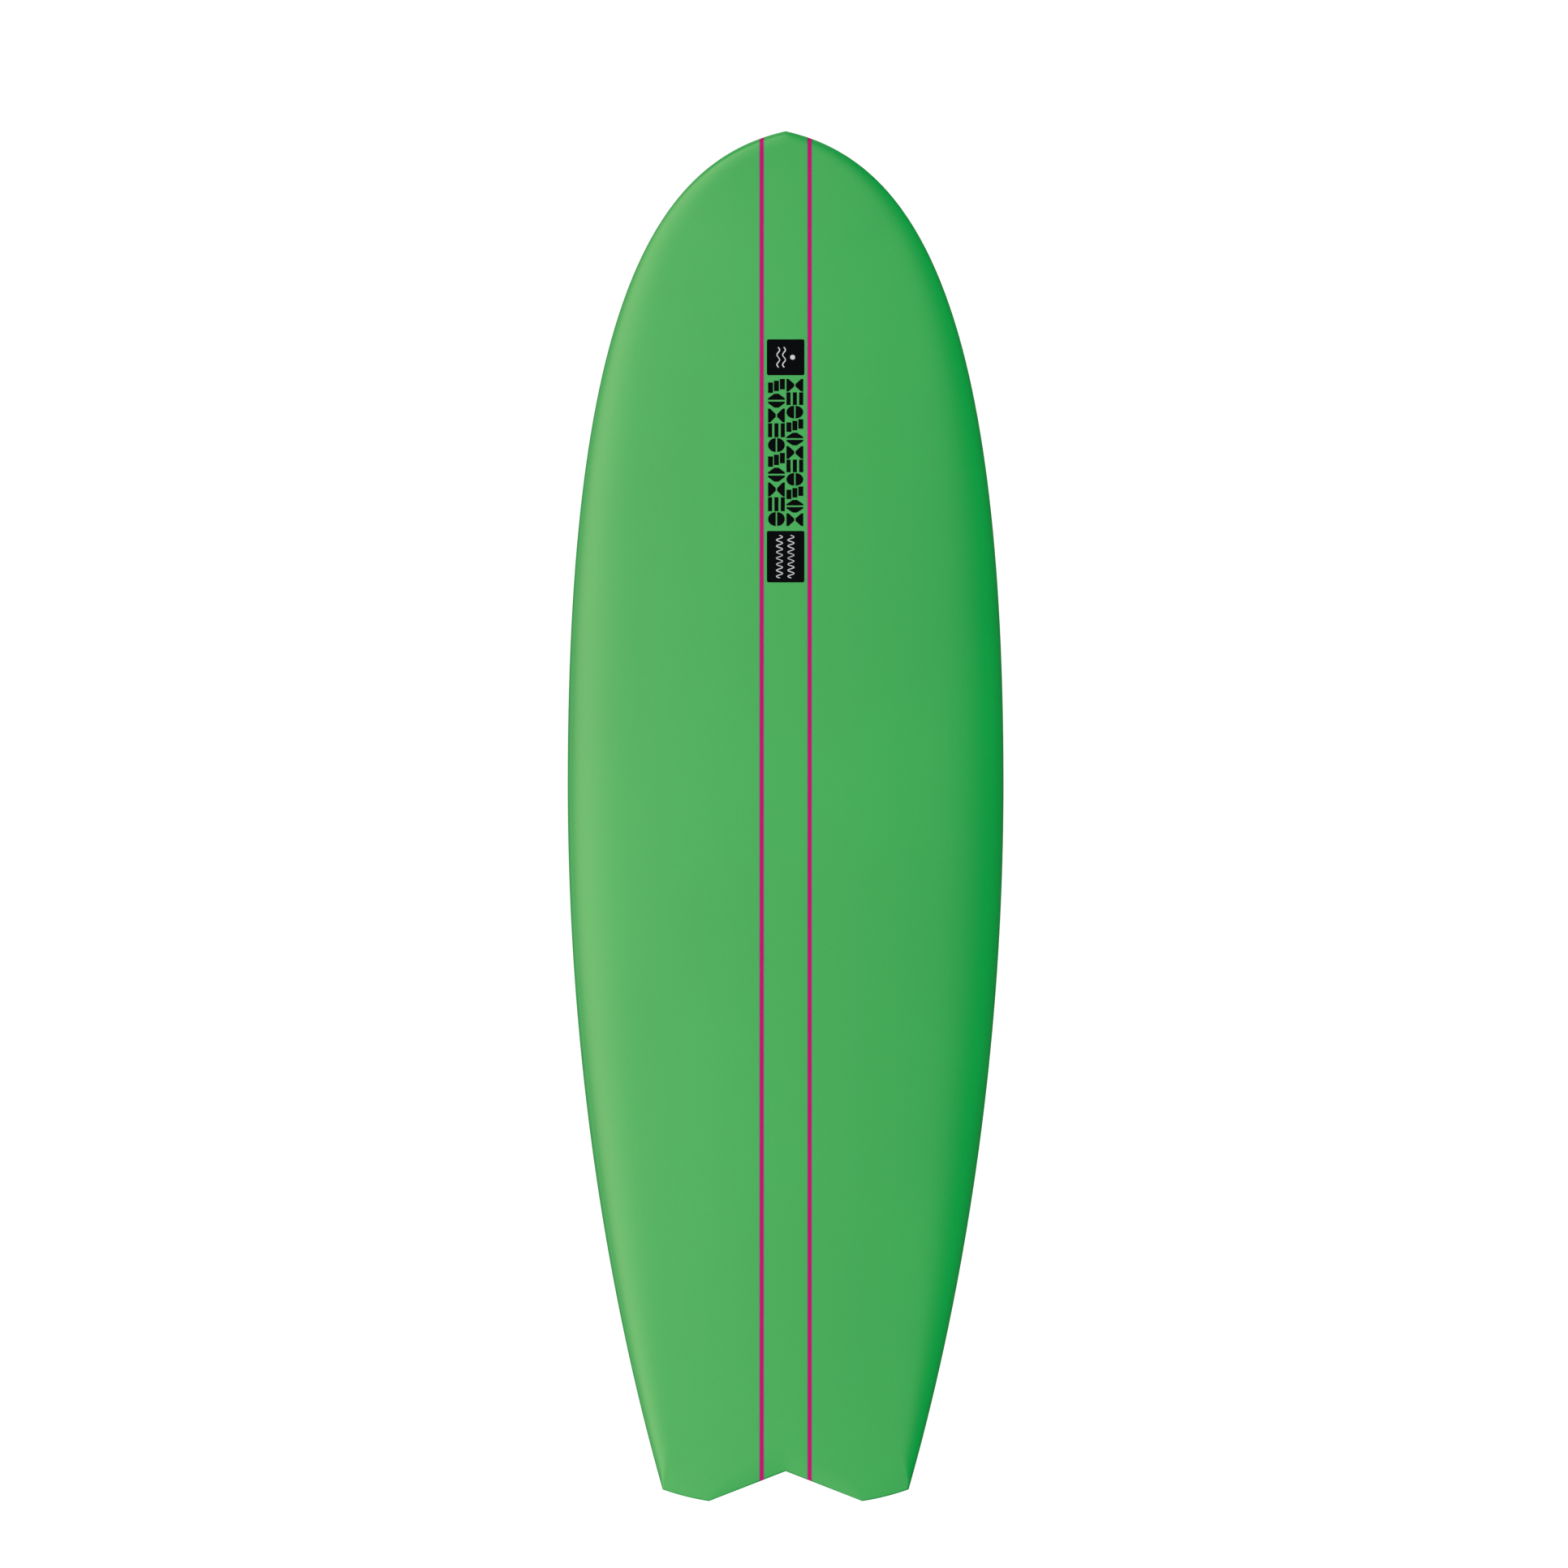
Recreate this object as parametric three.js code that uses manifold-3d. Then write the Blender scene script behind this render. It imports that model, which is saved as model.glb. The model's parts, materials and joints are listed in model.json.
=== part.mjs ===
// A stubby swallow-tail shortboard: foam blank, two stringers, fibreglass skins, printed paper
// graphics, and three removable fins that sit in pairs of plugs and are held by grub screws.
//
// Frame, in millimetres: +Y to the nose, +X to the rider's right when facing the nose, +Z out of the
// deck. The origin is on the centreline at mid-length, on the flat spot of the bottom.
import * as THREE from 'three';
import { mergeVertices } from 'three/addons/utils/BufferGeometryUtils.js';
import Module from 'manifold-3d';

const wasm = await Module();
wasm.setup();

// ---- driving dimensions, in millimetres ----
const LENGTH = 1676.4;
const WIDTH = 533.4;
const THICKNESS = 66.7;
const NOSE_THICKNESS = 13;
const TAIL_THICKNESS = 16;
const NOSE_ROCKER = 112;
const TAIL_ROCKER = 48;
const FLAT_HALF = 60; // half-length of the flat spot in the middle of the rocker

// plan outline
const WIDE_POINT = 40; // ahead of mid-length
const NOSE_ANGLE = 0.22; // radians that the nose edges fall away from straight across
const NOSE_PULL = 157; // how far the nose edge runs before it turns
const FRONT_PULL = 600; // how far the front rail runs straight from the wide point
const REAR_PULL = 382;
const CORNER = { x: 150.5, y: -824.0 }; // where the rail meets the tail block
const CORNER_PULL = { x: 51, y: 179 };
const TIP = { x: 93.8, y: -LENGTH / 2 };
const TIP_BOW = { x: 122, y: -834.0 }; // control point of the slightly bowed edge from corner to tip
const NOTCH_Y = -801.6;

// cross-section
const DOME = 0.22; // part of the thickness that the deck falls from the centreline to the rail
const DOME_POWER = 2.2;
const RAIL_ROLL = 1.7; // width of the deck's roll into the rail, over the local thickness
const RAIL_POWER = 5; // how much of that roll happens close to the rail
const TUCK_POWER = 2.2;
const TAIL_EDGE_ROLL = 3;
const TAIL_BEVEL = { width: 32, drop: 1.5 }; // the deck's gentle fall to the tail block's edge
const APEX = 0.4; // height of the rail's widest point, over the local thickness
const TAIL_APEX = 0.3;
const TUCK = 30; // width of the soft rounding under the rail
const HARD_TUCK = 4; // the same at the hard-edged tail
const LAP = 14; // how far the deck laminate runs in under the rail

// laminate and stringers
const SKIN = 1.2;
const GAP = 0.3; // clearance between pieces that touch
const STRINGER_X = 29.3;
const STRINGER_WIDTH = 5.3;

// fins and their plugs
const FIN_BASE = 112;
const FIN_DEPTH = 115;
const FIN_THICKNESS = 6.4;
const FIN_LIFT = 0.8; // the fin's foot clears the bottom by this much
const TAB = { length: 14.2, depth: 12.5, spacing: 66 };
const PLUG_RADIUS = 15;
const PLUG_DEPTH = 16;
const SCREW = {
  radius: 3, length: 8, cone: 3.2, tip: 1.2, chamfer: 0.5, tilt: Math.PI / 6, socket: 1.4, socketDepth: 3,
};
const ABOVE = 6; // how far cutting shapes run out past the bottom
const SIDE_FIN = { x: 178, y: -503, cant: 0.113, toe: 0.054 };
const CENTER_FIN_Y = -693;

// graphics
const PAPER = 0.5;
const GRAPHICS = {
  paper_badge: { length: 44, y: 561.5 },
  paper_stripes: { length: 181, y: 445 },
  paper_tag: { length: 63, y: 317.5 },
};
const GRAPHIC_WIDTH = 46;
const GRAPHIC_CORNER = 2.5;
const GRAPHIC_FLOOR = 55; // a height that is inside the foam under every graphic

// mesh resolution
const FRONT_STATIONS = 12;
const REAR_STATIONS = 9;
const TAIL_STATIONS = 2;
const PLUG_SIDES = 22;
const SCREW_SIDES = 12;

// ---- materials ----
function finish(color, roughness, metalness = 0) {
  return new THREE.MeshStandardMaterial({ color, roughness, metalness });
}

const foam = () => finish(0x63b56c, 0.9);
const stringerWood = () => finish(0xc7106a, 0.6);
const laminate = () => finish(0x4fb15f, 0.28);
const printedPaper = () => finish(0x0a0c0e, 0.35);
const finResin = () => finish(0x1b1d20, 0.35);
const plugPlastic = () => finish(0x17181a, 0.5);
const screwSteel = () => finish(0xb9bcc0, 0.3, 1);

// ---- the board's shape ----
const clamp01 = (value) => Math.min(1, Math.max(0, value));
const mix = (a, b, t) => a + (b - a) * t;
const smooth = (t) => clamp01(t) ** 2 * (3 - 2 * clamp01(t));

// height of the bottom's centreline
function rocker(y) {
  const reach = clamp01((Math.abs(y) - FLAT_HALF) / (LENGTH / 2 - FLAT_HALF));
  return y > 0 ? NOSE_ROCKER * reach ** 2.6 : TAIL_ROCKER * reach ** 2.2;
}

function thickness(y) {
  const reach = clamp01((Math.abs(y) - FLAT_HALF) / (LENGTH / 2 - FLAT_HALF));
  return mix(THICKNESS, y > 0 ? NOSE_THICKNESS : TAIL_THICKNESS, reach ** 1.8);
}

// right-hand outline from nose to notch: a point on the edge, its hub on the centreline, and
// whether it lies on the tail block, whose edges are tight
function outlineStations() {
  const widest = new THREE.Vector2(WIDTH / 2, WIDE_POINT);
  const nose = new THREE.Vector2(0, LENGTH / 2);
  const corner = new THREE.Vector2(CORNER.x, CORNER.y);
  const tip = new THREE.Vector2(TIP.x, TIP.y);
  const front = new THREE.CubicBezierCurve(
    nose,
    new THREE.Vector2(NOSE_PULL * Math.cos(NOSE_ANGLE), LENGTH / 2 - NOSE_PULL * Math.sin(NOSE_ANGLE)),
    new THREE.Vector2(WIDTH / 2, WIDE_POINT + FRONT_PULL),
    widest,
  );
  const rear = new THREE.CubicBezierCurve(
    widest,
    new THREE.Vector2(WIDTH / 2, WIDE_POINT - REAR_PULL),
    new THREE.Vector2(CORNER.x + CORNER_PULL.x, CORNER.y + CORNER_PULL.y),
    corner,
  );
  const block = new THREE.QuadraticBezierCurve(corner, new THREE.Vector2(TIP_BOW.x, TIP_BOW.y), tip);
  const swallow = new THREE.LineCurve(tip, new THREE.Vector2(0, NOTCH_Y));
  const runs = [
    { curve: front, count: FRONT_STATIONS, tail: 0 },
    { curve: rear, count: REAR_STATIONS, tail: 0 },
    { curve: block, count: TAIL_STATIONS, tail: 1 },
    { curve: swallow, count: TAIL_STATIONS, tail: 1 },
  ];
  const stations = [{ edge: nose, tail: 0 }];
  for (const { curve, count, tail } of runs) {
    for (let i = 1; i <= count; i++) stations.push({ edge: curve.getPoint(i / count), tail });
  }
  let hub = Infinity;
  for (const station of stations) {
    const reach = station.edge.y > 0 ? 0.88 : 0.84;
    hub = station.tail ? hub - 5 : station.edge.y * reach;
    station.hub = hub;
  }
  return stations;
}

// how far a cross-section has turned from the rail's apex to its full height, 0 to 1
const roll = (reach, power) => Math.sqrt(1 - (1 - clamp01(reach)) ** power);

// One cross-section as [distance in from the edge, height] pairs, from the deck's centreline over
// the rail to the bottom's centreline. lapEnd is the point where the deck laminate ends.
function section(station) {
  const { edge, hub, tail } = station;
  const span = Math.hypot(edge.x, edge.y - hub);
  const yAt = (inset) => mix(edge.y, hub, inset / span);
  const edgeThickness = thickness(edge.y);
  const hardness = smooth((-edge.y - 100) / 400);
  const rollWidth = mix(RAIL_ROLL * edgeThickness, TAIL_EDGE_ROLL, tail);
  const tuckWidth = mix(TUCK, HARD_TUCK, hardness);
  const apex = mix(APEX, TAIL_APEX, hardness) * edgeThickness;

  // towards the ends, where the outline closes in, the dome stays as wide as at the tail's corners
  const domeHalf = Math.max(edge.x, CORNER.x);
  const deckHeight = (inset) => {
    const y = yAt(inset);
    const aside = (edge.x * clamp01(1 - inset / span)) / domeHalf;
    const crown = thickness(y) * (1 - DOME * aside ** DOME_POWER);
    const bevel = tail * TAIL_BEVEL.drop * clamp01(1 - inset / TAIL_BEVEL.width) ** 2;
    return rocker(y) + apex + (crown - bevel - apex) * roll(inset / rollWidth, RAIL_POWER);
  };
  const bottomHeight = (inset) =>
    rocker(yAt(inset)) + apex * (1 - roll(inset / tuckWidth, TUCK_POWER));

  const deck = [1, 0.66, 0.3].map((part) => mix(rollWidth, span, part));
  deck.push(...[1, 0.6, 0.3, 0.12, 0.03].map((part) => part * rollWidth));
  const tucked = [0.05, 0.25, 0.6].map((part) => part * LAP);
  const inner = Math.max(tuckWidth, LAP + 4);
  const belly = [inner, mix(inner, span, 0.5), span];
  const points = [
    ...deck.map((inset) => [inset, deckHeight(inset)]),
    [0, rocker(edge.y) + apex],
    ...tucked.map((inset) => [inset, bottomHeight(inset)]),
  ];
  const lapEnd = points.length;
  points.push(...[LAP - GAP / 2, LAP + GAP / 2].map((inset) => [inset, bottomHeight(inset)]));
  points.push(...belly.map((inset) => [inset, bottomHeight(inset)]));
  return { points, lapEnd };
}

// The same cross-section moved inwards by a depth, square to its own line. The two points of the
// seam move side by side, so that the gap between the laminates keeps its width.
function sunk({ points, lapEnd }, depth) {
  const last = points.length - 1;
  return points.map(([inset, height], i) => {
    if (i === 0) return [inset, height - depth];
    if (i === last) return [inset, height + depth];
    const before = points[i === lapEnd + 1 ? i - 2 : i - 1];
    const after = points[i === lapEnd ? i + 2 : i + 1];
    const along = [after[0] - before[0], after[1] - before[1]];
    const size = Math.hypot(...along);
    return [inset - (along[1] / size) * depth, height + (along[0] / size) * depth];
  });
}

// every cross-section round the board, right side then left side, as rings of 3-D points
function boardColumns(depth) {
  const stations = outlineStations();
  const place = ({ edge, hub }, points, side) => {
    const span = Math.hypot(edge.x, edge.y - hub);
    return points.map(([inset, height]) => [
      side * mix(edge.x, 0, inset / span),
      mix(edge.y, hub, inset / span),
      height,
    ]);
  };
  const column = (station, side) => {
    const line = section(station);
    return place(station, depth ? sunk(line, depth) : line.points, side);
  };
  const right = stations.map((station) => column(station, 1));
  const left = stations.slice(1, -1).map((station) => column(station, -1));
  return [...right, ...left.reverse()];
}

// ---- mesh helpers ----
function geometryFrom(positions, triangles) {
  const geometry = new THREE.BufferGeometry();
  geometry.setAttribute('position', new THREE.Float32BufferAttribute(positions.flat(), 3));
  geometry.setIndex(triangles.flat());
  return geometry;
}

// joins neighbouring columns of points into quads; the columns run round a closed loop
function quadsAround(columns, from, to, offset, flip) {
  const rows = to - from + 1;
  const triangles = [];
  for (let c = 0; c < columns; c++) {
    const next = (c + 1) % columns;
    for (let r = 0; r < rows - 1; r++) {
      const [a, b] = [offset + c * rows + r, offset + c * rows + r + 1];
      const [d, e] = [offset + next * rows + r, offset + next * rows + r + 1];
      triangles.push(flip ? [a, e, d] : [a, d, e], flip ? [a, b, e] : [a, e, b]);
    }
  }
  return triangles;
}

// a closed solid of the whole board, sunk inwards by a depth
function boardSolid(depth) {
  const columns = boardColumns(depth);
  const rows = columns[0].length;
  return solid(geometryFrom(columns.flat(), quadsAround(columns.length, 0, rows - 1, 0, false)));
}

// a shell between two depths, over the rows of the cross-section from one to another
function shell(from, to, outerDepth, innerDepth) {
  const outer = boardColumns(outerDepth).map((column) => column.slice(from, to + 1));
  const inner = boardColumns(innerDepth).map((column) => column.slice(from, to + 1));
  const columns = outer.length;
  const rows = to - from + 1;
  const offset = columns * rows;
  const triangles = [
    ...quadsAround(columns, from, to, 0, false),
    ...quadsAround(columns, from, to, offset, true),
  ];
  const rimRow = from === 0 ? rows - 1 : 0;
  for (let c = 0; c < columns; c++) {
    const a = c * rows + rimRow;
    const b = ((c + 1) % columns) * rows + rimRow;
    const rim = [[a, b, b + offset], [a, b + offset, a + offset]];
    triangles.push(...rim.map(([p, q, r]) => (from === 0 ? [p, q, r] : [p, r, q])));
  }
  return solid(geometryFrom([...outer.flat(), ...inner.flat()], triangles));
}

// a three.js geometry as a manifold-3d solid
function solid(geometry) {
  const bare = geometry.clone();
  bare.deleteAttribute('normal');
  bare.deleteAttribute('uv');
  const merged = mergeVertices(bare, 1e-4);
  const index = merged.index.array;
  const triVerts = [];
  for (let i = 0; i < index.length; i += 3) {
    const [a, b, c] = index.slice(i, i + 3);
    if (a !== b && b !== c && c !== a) triVerts.push(a, b, c);
  }
  return new wasm.Manifold(new wasm.Mesh({
    numProp: 3,
    vertProperties: new Float32Array(merged.attributes.position.array),
    triVerts: new Uint32Array(triVerts),
  }));
}

function geometryOf(manifold) {
  const { vertProperties, triVerts } = manifold.getMesh();
  const geometry = new THREE.BufferGeometry();
  geometry.setAttribute('position', new THREE.BufferAttribute(new Float32Array(vertProperties), 3));
  geometry.setIndex(new THREE.BufferAttribute(new Uint32Array(triVerts), 1));
  const flat = geometry.toNonIndexed();
  flat.computeVertexNormals();
  return flat;
}

function addPart(group, name, manifold, material) {
  const mesh = new THREE.Mesh(geometryOf(manifold), material);
  mesh.name = name;
  group.add(mesh);
}

// ---- fins, plugs and screws, drawn in a frame of their own: +Y ahead, +Z out of the bottom ----
const foil = (part) => Math.max(Math.sqrt(part) * (1 - part) * 2.6, 0.1);

// a box round the fin's centre plane, as long as a tab
function tabBlock(y, margin, low, high) {
  const block = new THREE.BoxGeometry(FIN_THICKNESS + 2 * margin, TAB.length + 2 * margin, high - low);
  block.translate(0, y, (low + high) / 2);
  return solid(block);
}

// flatSide is the side with no foil: 1, -1, or 0 for a fin that is foiled on both sides
function finBlade(flatSide) {
  const half = FIN_BASE / 2;
  const point = (y, z) => new THREE.Vector2(y, z);
  const lead = new THREE.CubicBezierCurve(
    point(half, 0), point(half - 20, 44), point(-6, 104), point(-half - 11, FIN_DEPTH),
  );
  const trail = new THREE.CubicBezierCurve(
    point(-half, 0), point(-half + 20, 34), point(-half + 4, 86), point(-half - 18, FIN_DEPTH - 3),
  );
  const chord = [0, 0.03, 0.12, 0.3, 0.52, 0.76, 1];
  const heights = [0, 0.14, 0.28, 0.42, 0.56, 0.7, 0.82, 0.92, 1];
  const positions = [];
  for (const height of heights) {
    const front = lead.getPoint(height);
    const back = trail.getPoint(height);
    const depth = mix(FIN_THICKNESS, 2.2, height ** 1.3);
    const add = (part, x) => positions.push([x, mix(front.x, back.x, part), mix(front.y, back.y, part)]);
    const face = (part, side) => {
      if (flatSide === 0) return (side * depth * foil(part)) / 2;
      return flatSide * (FIN_THICKNESS / 2 - (side === flatSide ? 0 : depth * foil(part)));
    };
    chord.forEach((part) => add(part, face(part, 1)));
    [...chord].reverse().forEach((part) => add(part, face(part, -1)));
  }
  const around = chord.length * 2;
  const top = (heights.length - 1) * around;
  const triangles = [];
  for (let h = 0; h < top; h += around) {
    for (let i = 0; i < around; i++) {
      const [a, b] = [h + i, h + ((i + 1) % around)];
      triangles.push([a, a + around, b], [b, a + around, b + around]);
    }
  }
  for (let i = 0; i < chord.length - 1; i++) {
    const [a, b, c, d] = [i, i + 1, around - 2 - i, around - 1 - i];
    triangles.push([a, b, c], [a, c, d]);
    triangles.push([top + a, top + c, top + b], [top + a, top + d, top + c]);
  }
  const geometry = geometryFrom(positions, triangles);
  geometry.translate(0, 0, FIN_LIFT);
  return solid(geometry);
}

function finWithTabs(flatSide) {
  const tab = (end) => tabBlock((end * TAB.spacing) / 2, 0, -TAB.depth, FIN_LIFT + 0.1);
  return finBlade(flatSide).add(tab(1)).add(tab(-1));
}

// a prism or cylinder along +Z between two heights
function rod(radius, low, high, sides) {
  const geometry = new THREE.CylinderGeometry(radius, radius, high - low, sides);
  geometry.rotateX(Math.PI / 2);
  geometry.translate(0, 0, (low + high) / 2);
  return geometry;
}

// moves a geometry drawn along the screw's axis, tip at the origin, to its place beside the tab
function besideTab(geometry, side) {
  const tipX = FIN_THICKNESS / 2 + GAP + SCREW.tip * Math.cos(SCREW.tilt);
  const headDrop = SCREW.length * Math.cos(SCREW.tilt) + SCREW.radius * Math.sin(SCREW.tilt);
  geometry.rotateY(side * SCREW.tilt);
  geometry.translate(side * tipX, 0, -GAP - headDrop);
  return solid(geometry);
}

function grubScrew(side) {
  const { radius, length, cone, tip, chamfer, socket, socketDepth } = SCREW;
  const profile = [
    [0, 0], [tip, 0], [radius, cone], [radius, length - chamfer], [radius - chamfer, length], [0, length],
  ];
  const body = new THREE.LatheGeometry(profile.map(([x, y]) => new THREE.Vector2(x, y)), SCREW_SIDES);
  body.rotateX(Math.PI / 2);
  const hexagon = rod(socket, length - socketDepth, length + 1, 6);
  return besideTab(body, side).subtract(besideTab(hexagon, side));
}

// the cup, with its slot and screw bore, trimmed flush with the bottom
function finPlug(side, board) {
  const cup = solid(rod(PLUG_RADIUS, -PLUG_DEPTH, ABOVE, PLUG_SIDES));
  const slot = tabBlock(0, GAP, -TAB.depth - GAP, ABOVE);
  const bore = besideTab(rod(SCREW.radius + GAP, -GAP, 3 * ABOVE, SCREW_SIDES), side);
  return cup.subtract(slot).subtract(bore).intersect(board);
}

// ---- assembly ----
const surfboard = new THREE.Group();
const outer = boardSolid(0);
const blank = boardSolid(SKIN + GAP);
const plugHoles = [];

// a fin with its two plugs and screws, on the bottom at a point of the plan
function addFinSet(name, side, { x, y, cant, toe }) {
  const screwSide = side || 1;
  const station = new THREE.Group();
  const slope = (rocker(y + 1) - rocker(y - 1)) / 2;
  station.position.set(side * x, y, rocker(y));
  station.rotation.set(Math.atan(slope), Math.PI - side * cant, side * toe, 'ZXY');
  surfboard.add(station);
  addPart(station, `fin_${name}`, finWithTabs(side), finResin());
  for (const [place, end] of [['front', 1], ['rear', -1]]) {
    const seat = new THREE.Group();
    seat.position.y = (end * TAB.spacing) / 2;
    station.add(seat);
    seat.updateWorldMatrix(true, false);
    const board = solid(geometryOf(outer).applyMatrix4(seat.matrixWorld.clone().invert()));
    addPart(seat, `plug_${name}_${place}`, finPlug(screwSide, board), plugPlastic());
    addPart(seat, `screw_${name}_${place}`, grubScrew(screwSide), screwSteel());
    const hole = rod(PLUG_RADIUS + GAP, -PLUG_DEPTH - GAP, ABOVE, PLUG_SIDES);
    plugHoles.push(solid(hole.applyMatrix4(seat.matrixWorld)));
  }
}

const drilled = (piece) => plugHoles.reduce((rest, hole) => rest.subtract(hole), piece);

// an upright slab over the whole board between two places across it
function slab(low, high) {
  const box = new THREE.BoxGeometry(high - low, 2 * LENGTH, LENGTH);
  box.translate((low + high) / 2, 0, 0);
  return solid(box);
}

// everything inside a rounded upright block that is above a sheet some depth below the deck
function aboveSheet({ length, y }, margin, depth) {
  const [halfX, halfY] = [GRAPHIC_WIDTH / 2 + margin, length / 2 + margin];
  const r = GRAPHIC_CORNER;
  const outline = new THREE.Shape();
  outline.moveTo(halfX, halfY - r);
  outline.absarc(halfX - r, halfY - r, r, 0, Math.PI / 2);
  outline.absarc(r - halfX, halfY - r, r, Math.PI / 2, Math.PI);
  outline.absarc(r - halfX, r - halfY, r, Math.PI, 1.5 * Math.PI);
  outline.absarc(halfX - r, r - halfY, r, 1.5 * Math.PI, 2 * Math.PI);
  const block = new THREE.ExtrudeGeometry(outline, { depth: LENGTH, bevelEnabled: false, curveSegments: 2 });
  block.translate(0, y, GRAPHIC_FLOOR);
  return solid(block).subtract(solid(geometryOf(outer).translate(0, 0, -depth)));
}

addFinSet('right', 1, SIDE_FIN);
addFinSet('left', -1, SIDE_FIN);
addFinSet('center', 0, { x: 0, y: CENTER_FIN_Y, cant: 0, toe: 0 });

const reach = STRINGER_X + STRINGER_WIDTH / 2 + GAP;
const middle = STRINGER_X - STRINGER_WIDTH / 2 - GAP;
addPart(surfboard, 'foam_panel_right', drilled(blank.intersect(slab(reach, WIDTH))), foam());
addPart(surfboard, 'foam_panel_left', drilled(blank.intersect(slab(-WIDTH, -reach))), foam());
addPart(surfboard, 'foam_panel_center', drilled(blank.intersect(slab(-middle, middle))), foam());
for (const [name, side] of [['right', 1], ['left', -1]]) {
  const [low, high] = [-STRINGER_WIDTH / 2, STRINGER_WIDTH / 2].map((half) => side * STRINGER_X + half);
  addPart(surfboard, `stringer_${name}`, blank.intersect(slab(low, high)), stringerWood());
}

const { points, lapEnd } = section(outlineStations()[0]);
let deckSkin = shell(0, lapEnd, 0, SKIN);
for (const [name, graphic] of Object.entries(GRAPHICS)) {
  addPart(surfboard, name, aboveSheet(graphic, 0, PAPER).intersect(outer), printedPaper());
  deckSkin = deckSkin.subtract(aboveSheet(graphic, GAP, PAPER + GAP));
}
addPart(surfboard, 'deck_skin', deckSkin, laminate());
addPart(surfboard, 'bottom_skin', drilled(shell(lapEnd + 1, points.length - 1, 0, SKIN)), laminate());

export default surfboard;
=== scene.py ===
"""A stubby swallow-tail shortboard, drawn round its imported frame.

Everything is in metres, in the frame's axes: +Y to the nose, +Z out of the deck. The skins are
rebuilt finely from the same few dimensions that shape the board, and the fins, plugs and screws
are placed from the frame's joints.
"""

import json
import math

import bmesh
import bpy
import numpy as np
from mathutils import Matrix, Vector
from mathutils.bvhtree import BVHTree


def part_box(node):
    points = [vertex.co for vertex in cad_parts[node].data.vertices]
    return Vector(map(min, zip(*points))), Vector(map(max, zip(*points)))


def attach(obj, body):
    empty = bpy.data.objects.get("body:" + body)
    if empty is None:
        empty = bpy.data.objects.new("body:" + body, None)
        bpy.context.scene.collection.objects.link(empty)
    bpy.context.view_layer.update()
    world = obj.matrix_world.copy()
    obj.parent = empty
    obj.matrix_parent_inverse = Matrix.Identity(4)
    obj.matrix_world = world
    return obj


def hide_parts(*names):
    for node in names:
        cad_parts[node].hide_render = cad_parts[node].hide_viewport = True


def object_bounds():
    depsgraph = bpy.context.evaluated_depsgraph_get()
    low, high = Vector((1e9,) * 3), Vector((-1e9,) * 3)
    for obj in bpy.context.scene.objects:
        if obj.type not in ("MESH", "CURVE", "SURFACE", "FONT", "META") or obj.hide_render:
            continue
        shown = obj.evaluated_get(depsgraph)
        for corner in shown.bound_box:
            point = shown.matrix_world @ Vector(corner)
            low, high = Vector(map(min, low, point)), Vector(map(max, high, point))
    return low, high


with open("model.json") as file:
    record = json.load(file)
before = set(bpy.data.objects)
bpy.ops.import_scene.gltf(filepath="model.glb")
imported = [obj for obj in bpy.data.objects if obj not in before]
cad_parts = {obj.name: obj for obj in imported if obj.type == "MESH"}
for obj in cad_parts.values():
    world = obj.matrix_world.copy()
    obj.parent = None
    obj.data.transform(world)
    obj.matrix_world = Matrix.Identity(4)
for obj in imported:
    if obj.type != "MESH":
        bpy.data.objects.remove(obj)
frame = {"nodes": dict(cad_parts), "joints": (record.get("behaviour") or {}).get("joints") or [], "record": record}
cad_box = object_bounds()
MM = 0.001

# ---- the board's own dimensions, as in the frame ----
deck_low, deck_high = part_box("deck_skin")
stringer_low, stringer_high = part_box("stringer_right")
mounts = {mount["name"]: mount for mount in frame["record"]["mounts"]}
joints = {joint["name"]: joint for joint in frame["joints"]}

LENGTH = deck_high.y - deck_low.y
WIDTH = deck_high.x - deck_low.x
THICKNESS = mounts["deck_pad"]["pos_m"][2]
STRINGER_X = (stringer_low.x + stringer_high.x) / 2
STRINGER_HALF = (stringer_high.x - stringer_low.x) / 2

NOSE_THICKNESS = 13 * MM
TAIL_THICKNESS = 16 * MM
THICKNESS_POWER = 1.8
NOSE_ROCKER, NOSE_ROCKER_POWER = 112 * MM, 2.6
TAIL_ROCKER, TAIL_ROCKER_POWER = 48 * MM, 2.2
FLAT_HALF = 60 * MM

# the outline: the widest point, the lengths of its curves' handles, and the tail's points
WIDE_POINT = 40 * MM
NOSE_ANGLE = 0.22
NOSE_PULL = 157 * MM
FRONT_PULL = 600 * MM
REAR_PULL = 382 * MM
CORNER = np.array([150.5, -824.0]) * MM
CORNER_PULL = np.array([51, 179]) * MM
TIP = np.array([93.8 * MM, -LENGTH / 2])
TIP_BOW = np.array([122, -834.0]) * MM
NOTCH = np.array([0, -801.6]) * MM
NOSE_HUB, REAR_HUB = 0.88, 0.84  # where each cross-section meets the centreline, over its edge's y
TAIL_HUB_RUN = 20 * MM

# the cross-section: the deck's dome, the roll of the rail over its edge, and the tuck under it
DOME = 0.22
DOME_POWER = 2.2
RAIL_ROLL = 1.7
RAIL_POWER, TUCK_POWER = 5, 2.2
TAIL_EDGE_ROLL = 3 * MM
TAIL_BEVEL_WIDTH = 32 * MM
TAIL_BEVEL_DROP = 1.5 * MM
APEX, TAIL_APEX = 0.4, 0.3
TUCK, HARD_TUCK = 30 * MM, 4 * MM
HARD_START, HARD_RUN = 100 * MM, 400 * MM  # where behind the middle the rail turns hard, over what length
LAP = 14 * MM
SEAM = 0.3 * MM
SKIN = 1.2 * MM

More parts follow.
